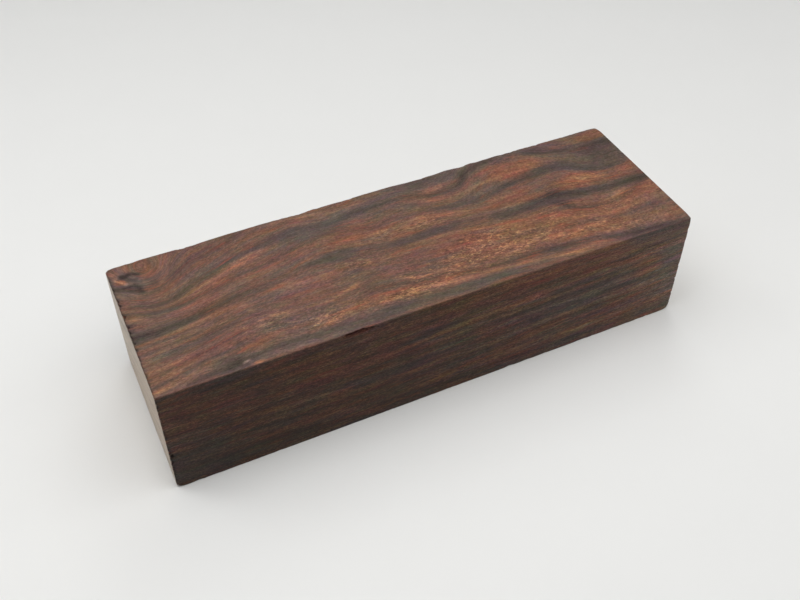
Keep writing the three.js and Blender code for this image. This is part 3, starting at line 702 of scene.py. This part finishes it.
class Graph:
    """Adds nodes to a material's tree, by short names."""

    def __init__(self, material):
        material.use_nodes = True
        self.tree = material.node_tree
        self.tree.nodes.clear()

    def fill(self, socket, value):
        if isinstance(value, bpy.types.NodeSocket):
            self.tree.links.new(value, socket)
        else:
            socket.default_value = value

    def add(self, kind, inputs=None, **settings):
        node = self.tree.nodes.new(kind)
        for name, value in settings.items():
            setattr(node, name, value)
        for name, value in (inputs or {}).items():
            self.fill(node.inputs[name], value)
        return node

    def attribute(self, name, output="Fac"):
        return self.add("ShaderNodeAttribute", attribute_name=name).outputs[output]

    def math(self, operation, a, b=0.0, c=0.0, clamp=False):
        return self.add("ShaderNodeMath", {0: a, 1: b, 2: c}, operation=operation, use_clamp=clamp).outputs[0]

    def times(self, a, b, clamp=False):
        return self.math("MULTIPLY", a, b, clamp=clamp)

    def plus(self, total, field, amount, clamp=False):
        """The total, with so much of a field added."""
        return self.math("MULTIPLY_ADD", field, amount, total, clamp)

    def vector(self, operation, a, b):
        """Vector maths. Only the factor of SCALE goes in by a socket of its own."""
        inputs = {0: a, 3 if operation == "SCALE" else 1: b}
        return self.add("ShaderNodeVectorMath", inputs, operation=operation).outputs[0]

    def noise(self, vector, factors, detail=3.0, roughness=0.5, distortion=0.0, output="Fac"):
        """Blender's noise, with so many waves a millimetre along each grain axis."""
        inputs = {
            "Vector": self.vector("MULTIPLY", vector, factors),
            "Scale": 1.0,
            "Detail": detail,
            "Roughness": roughness,
            "Distortion": distortion,
        }
        return self.add("ShaderNodeTexNoise", inputs).outputs[output]

    def swing(self, *settings):
        """Noise from about -1 to 1."""
        return self.math("MULTIPLY_ADD", self.noise(*settings), 4.0, -2.0)

    def shifted(self, colour, vector, factors, amount):
        """A colour whose red, green and blue each vary by themselves, by up to a fifth of the amount."""
        raw = self.noise(vector, factors, 3.0, 0.6, 0.0, "Color")
        swing = self.vector("SCALE", self.vector("SUBTRACT", raw, (0.5,) * 3), amount)
        return self.vector("MULTIPLY", colour, self.vector("ADD", swing, (1.0,) * 3))

    def ramp(self, value, colours, spread=(0, 1)):
        """Display colours at even steps of a value."""
        node = self.add("ShaderNodeValToRGB", {"Fac": value})
        elements = node.color_ramp.elements
        while len(elements) < len(colours):
            elements.new(0.5)
        for element, place, colour in zip(elements, np.linspace(*spread, len(colours)), colours):
            element.position = place
            element.color = (*linear(*colour), 1)
        return node.outputs["Color"]

    def mix(self, factor, a, b):
        """Colour a where the factor is 0, and colour b where it is 1."""
        node = self.add("ShaderNodeMix", {0: factor}, data_type="RGBA")
        for place, colour in ((6, a), (7, b)):
            self.fill(node.inputs[place], (*colour, 1) if isinstance(colour, tuple) else colour)
        return node.outputs[2]

    def surface(self, inputs):
        shader = self.add("ShaderNodeBsdfPrincipled", inputs)
        self.add("ShaderNodeOutputMaterial", {"Surface": shader.outputs[0]})

def linear(red, green, blue):
    """A colour given in 0 to 255 display values, as linear light."""
    values = np.array([red, green, blue]) / 255
    return tuple(np.where(values < 0.04045, values / 12.92, ((values + 0.055) / 1.055) ** 2.4))

# Display values from the darkest band to the palest fleck, where the wood is warm and where it is grey
WARM_WOOD = ((62, 40, 31), (82, 54, 41), (102, 69, 54), (127, 87, 68), (154, 108, 82), (192, 142, 102))
GREY_WOOD = ((58, 48, 43), (72, 60, 54), (87, 73, 66), (104, 87, 78), (126, 104, 94), (156, 131, 118))
# The sealed ends, over darker and over paler wood
SEALED_END = ((178, 162, 144), (210, 196, 177))
SEAL_SPREAD = (0.3, 0.8)
RED_STREAK = linear(158, 80, 62)
# Gold flecks: the wood's figure, painted partly as the chatoyant sheen of its curling fibres
GOLD_FLECK_SHEEN = linear(206, 152, 96)
PIT = linear(46, 30, 24)
PAPER = (linear(232, 232, 230), linear(236, 236, 234))

# The noises in the wood: waves a millimetre along the grain, across the layers and through them, then
# detail, roughness and distortion
NOISES = {
    # growth stripes, fine fibres and the grit between them
    "stripes": ((0.03, 0.55, 0.04), 3.0, 0.55),
    "fibres": ((0.2, 1.7, 0.35), 4.0, 0.75, 0.25),
    "grit": ((1.5, 2.6, 2.0), 2.0, 0.7),
    # short curly flecks, where the grain dips in and out of the surface
    "flecks": ((0.8, 1.9, 0.8), 3.0, 0.65, 1.2),
    # where the grain curls, thin pale lines wind round darker cells
    "winding": ((0.42, 0.95, 0.5), 2.0, 0.6, 0.6),
    "blotches": ((0.07, 0.16, 0.1), 3.0, 0.6),
    "mottle": ((0.3, 0.75, 0.4), 3.0, 0.6),
    "tints": ((0.09, 0.7, 0.15), 4.0, 0.7),
    # pores show as dots on the ends and short dashes elsewhere
    "pores": ((0.6, 5.0, 4.0), 1.0, 0.5),
    "saw_marks": ((2.4, 0.1, 0.1), 2.0),
}
TONE_MIDDLE = 0.555
TONE_GAIN = 0.245
# Faint red, green and violet shifts from fibre to fibre: waves a millimetre, and how strong on top and sides
BROAD_SHIFTS = ((0.06, 0.22, 0.12), (0.2, 0.6, 0.3))
SHIFT_ON_TOP = 0.45
MORE_ON_SIDES = 0.35
FINE_SHIFT = (0.8, 1.8, 1.0)
FINE_SHIFT_STRENGTH = 0.4
SATIN = 0.5
SPECULAR = 0.14
RELIEF = {"Strength": 0.6, "Distance": 0.00007}

def wood_value(g, field, noise):
    """How light the wood is, from 0 in the darkest band to 1 in the palest fleck."""
    fine = g.plus(g.times(noise["grit"], 0.18), noise["fibres"], 0.15)
    lace = g.plus(1.0, g.math("ABSOLUTE", noise["winding"]), -5.0, clamp=True)
    value = g.plus(TONE_MIDDLE, field["tone"], TONE_GAIN)
    value = g.plus(value, noise["stripes"], 0.05)
    value = g.plus(value, noise["blotches"], 0.04)
    value = g.plus(value, fine, g.plus(1.0, field["side"], 1.2))
    value = g.plus(value, noise["mottle"], g.plus(0.035, field["side"], 0.02))
    value = g.plus(value, noise["flecks"], g.plus(0.09, field["curl"], 0.25))
    value = g.plus(value, g.times(lace, field["curl"]), 0.23)
    # Torn wood is darker: partly its own torn fibres and partly painted shade in the chips' hollows
    return g.plus(value, field["torn"], -0.15, clamp=True)

def wood_colour(g, field, noise, value):
    """The bare wood's colour, as on the planed top."""
    warmth = g.plus(0.5, field["hue"], 1.1)
    warmth = g.plus(warmth, field["tone"], 0.35)
    warmth = g.plus(warmth, noise["blotches"], g.plus(0.3, field["side"], 0.3))
    warmth = g.plus(warmth, noise["tints"], g.plus(0.55, field["side"], 0.3), clamp=True)
    colour = g.mix(warmth, g.ramp(value, GREY_WOOD), g.ramp(value, WARM_WOOD))
    red = g.plus(g.plus(-0.5, field["hue"], 0.4), noise["tints"], 1.4, clamp=True)
    colour = g.mix(g.times(red, 0.6), colour, RED_STREAK)
    # Gold flecks where the grain curls, partly the wood's colour and partly painted sheen
    gold = g.times(g.plus(-0.9, noise["flecks"], 2.2, clamp=True), field["curl"], clamp=True)
    colour = g.mix(g.times(gold, 0.7), colour, GOLD_FLECK_SHEEN)
    pits = g.times(g.plus(-0.9, noise["flecks"], -2.2, clamp=True), field["curl"], clamp=True)
    pores = g.plus(-1.6, noise["pores"], 3.0, clamp=True)
    colour = g.mix(g.math("MAXIMUM", g.times(pores, 0.5), g.times(pits, 0.45)), colour, PIT)
    strength = g.plus(SHIFT_ON_TOP, field["side"], MORE_ON_SIDES)
    for factors in BROAD_SHIFTS:
        colour = g.shifted(colour, field["grain"], factors, strength)
    return g.shifted(colour, field["grain"], FINE_SHIFT, FINE_SHIFT_STRENGTH)

def with_sealed_ends(g, field, noise, value, colour):
    """A thin pale seal on the ends' faces, with the wood showing through and at the torn places."""
    seal = g.math("SUBTRACT", g.plus(-7.0, field["end"], 8.0, clamp=True), field["torn"], clamp=True)
    seal = g.times(seal, g.plus(0.8, noise["blotches"], 0.12, clamp=True))
    return g.mix(seal, colour, g.ramp(value, SEALED_END, SEAL_SPREAD))

def ironwood_material():
    material = bpy.data.materials.new("ironwood")
    g = Graph(material)
    field = {name: g.attribute(name) for name in ("tone", "hue", "curl", "torn", "end", "side", "shade")}
    field["grain"] = g.attribute("grain", "Vector")
    noise = {name: g.swing(field["grain"], *settings) for name, settings in NOISES.items()}

    value = wood_value(g, field, noise)
    colour = wood_colour(g, field, noise, value)
    # Painted shade: the colour is scaled by the shade field, darker on the sawn sides for the light they miss
    colour = g.vector("SCALE", colour, field["shade"])
    colour = with_sealed_ends(g, field, noise, value, colour)

    roughness = g.plus(SATIN, noise["fibres"], 0.04)
    roughness = g.plus(roughness, field["end"], -0.1)
    roughness = g.plus(roughness, field["torn"], 0.3, clamp=True)

    height = g.plus(g.times(noise["pores"], -0.35), noise["fibres"], 0.5)
    height = g.plus(height, noise["saw_marks"], 0.2)
    height = g.plus(height, noise["grit"], 0.25)
    relief = g.add("ShaderNodeBump", {**RELIEF, "Height": height})

    g.surface({
        "Base Color": colour,
        "Roughness": roughness,
        "Specular IOR Level": SPECULAR,
        "Normal": relief.outputs["Normal"],
    })
    return material

def paper_material():
    material = bpy.data.materials.new("pale_paper")
    g = Graph(material)
    mottle = g.swing(g.add("ShaderNodeTexCoord").outputs["Object"], (60.0, 60.0, 60.0))
    shade = g.mix(g.plus(0.5, mottle, 0.1, clamp=True), *PAPER)
    g.surface({"Base Color": shade, "Roughness": 0.75, "IOR": 1.4})
    return material

# The stage

# The camera stands to the left of the front, looking down along the block. Its eye is in millimetres.
CAMERA_EYE = (-73.9, -150.9, 178.4)
CAMERA_FORWARD = (0.3066, 0.6403, -0.7043)
CAMERA_RIGHT = (0.9035, -0.4286, 0.0036)
FOCAL_PIXELS = 989
FRAME_PIXELS = 800
SENSOR_WIDTH = 36

# The paper, in metres: how far it comes forward and to each side, where it starts to curve up, the curve's
# radius, and how high it goes
PAPER_FRONT = -1.6
PAPER_SIDE = 2.0
SWEEP_START = 0.5
SWEEP_RADIUS = 0.6
PAPER_TOP = 1.8

# The lights: (name, place, what it faces, width and height, power), in metres and watts
LIGHTS = (
    ("front_softbox", (0.2, -0.2, 0.4), (0.2, -0.2, 0), (0.6, 0.4), 1.13),
    ("middle_softbox", (0.0, 0.0, 0.41), (0.0, 0.0, 0), (0.6, 0.4), 0.43),
    ("spot_panel", (-0.1, 0.0, 0.4), (-0.1, 0.0, 0), (0.2, 0.2), 0.5),
    ("left_softbox", (-0.3, 0.1, 0.4), (-0.3, 0.1, 0), (0.6, 0.4), 0.42),
    ("left_back_panel", (-0.3, 0.2, 0.39), (-0.3, 0.2, 0), (0.2, 0.2), 0.38),
    ("left_low_panel", (-0.5, -0.04, 0.2), (-0.05, 0, 0), (0.3, 0.2), 0.16),
    ("right_low_panel", (0.52, -0.04, 0.2), (0.05, 0, 0), (0.3, 0.2), 0.3),
    ("right_back_panel", (0.212, 0.367, 0.424), (0, 0, 0), (0.3, 0.25), 0.49),
)
ROOM_LIGHT = 0.02

def place_in_scene(name, data):
    holder = bpy.data.objects.new(name, data)
    bpy.context.scene.collection.objects.link(holder)
    return holder

def add_camera():
    camera = bpy.data.cameras.new("camera")
    camera.sensor_width = SENSOR_WIDTH
    camera.lens = SENSOR_WIDTH * FOCAL_PIXELS / FRAME_PIXELS
    camera.clip_start = 0.01
    camera.clip_end = 20
    holder = place_in_scene("camera", camera)
    back = -Vector(CAMERA_FORWARD).normalized()
    right = Vector(CAMERA_RIGHT).normalized()
    up = back.cross(right).normalized()
    right = up.cross(back)
    turn = Matrix((right, up, back)).transposed().to_4x4()
    holder.matrix_world = Matrix.Translation(Vector(CAMERA_EYE) * MM) @ turn
    bpy.context.scene.camera = holder

def add_floor():
    """A paper sweep: level under the block, and curving up far behind it."""
    profile = [(PAPER_FRONT, 0.0), (SWEEP_START, 0.0)]
    for angle in np.linspace(0.1, np.pi / 2, 14):
        profile.append((SWEEP_START + SWEEP_RADIUS * np.sin(angle), SWEEP_RADIUS * (1 - np.cos(angle))))
    profile.append((SWEEP_START + SWEEP_RADIUS, PAPER_TOP))
    points = [(x, y, z) for x in (-PAPER_SIDE, PAPER_SIDE) for y, z in profile]
    count = len(profile)
    faces = [(i, i + count, i + count + 1, i + 1) for i in range(count - 1)]
    mesh = bpy.data.meshes.new("floor")
    mesh.from_pydata(points, [], faces)
    mesh.polygons.foreach_set("use_smooth", [True] * len(faces))
    mesh.materials.append(paper_material())
    floor = place_in_scene("floor", mesh)
    floor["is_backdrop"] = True

def add_lights():
    for name, place, target, size, power in LIGHTS:
        light = bpy.data.lights.new(name, "AREA")
        light.shape = "RECTANGLE"
        light.size, light.size_y = size
        light.energy = power
        holder = place_in_scene(name, light)
        away = (Vector(place) - Vector(target)).normalized()
        holder.matrix_world = Matrix.Translation(place) @ away.to_track_quat("Z", "Y").to_matrix().to_4x4()

def add_room():
    world = bpy.data.worlds.new("room")
    world.use_nodes = True
    background = world.node_tree.nodes["Background"]
    background.inputs["Color"].default_value = (1, 1, 1, 1)
    background.inputs["Strength"].default_value = ROOM_LIGHT
    bpy.context.scene.world = world

def add_block():
    mesh = ironwood_mesh()
    mesh.materials.append(ironwood_material())
    block = place_in_scene("ironwood", mesh)
    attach(block, "root")
    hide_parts("ironwood_block")

def corners(box):
    return [list(corner) for corner in box]

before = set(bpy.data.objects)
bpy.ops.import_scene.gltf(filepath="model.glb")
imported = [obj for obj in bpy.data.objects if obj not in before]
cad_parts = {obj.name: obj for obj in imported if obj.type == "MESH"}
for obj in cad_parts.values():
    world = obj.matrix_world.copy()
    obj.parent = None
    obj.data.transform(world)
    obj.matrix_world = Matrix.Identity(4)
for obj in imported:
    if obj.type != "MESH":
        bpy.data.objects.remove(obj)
cad_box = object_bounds()
bpy.context.scene.view_settings.view_transform = "Standard"
add_camera()
add_block()
add_floor()
add_lights()
add_room()
bpy.context.view_layer.update()
{"cad": corners(cad_box), "visual": corners(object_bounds())}
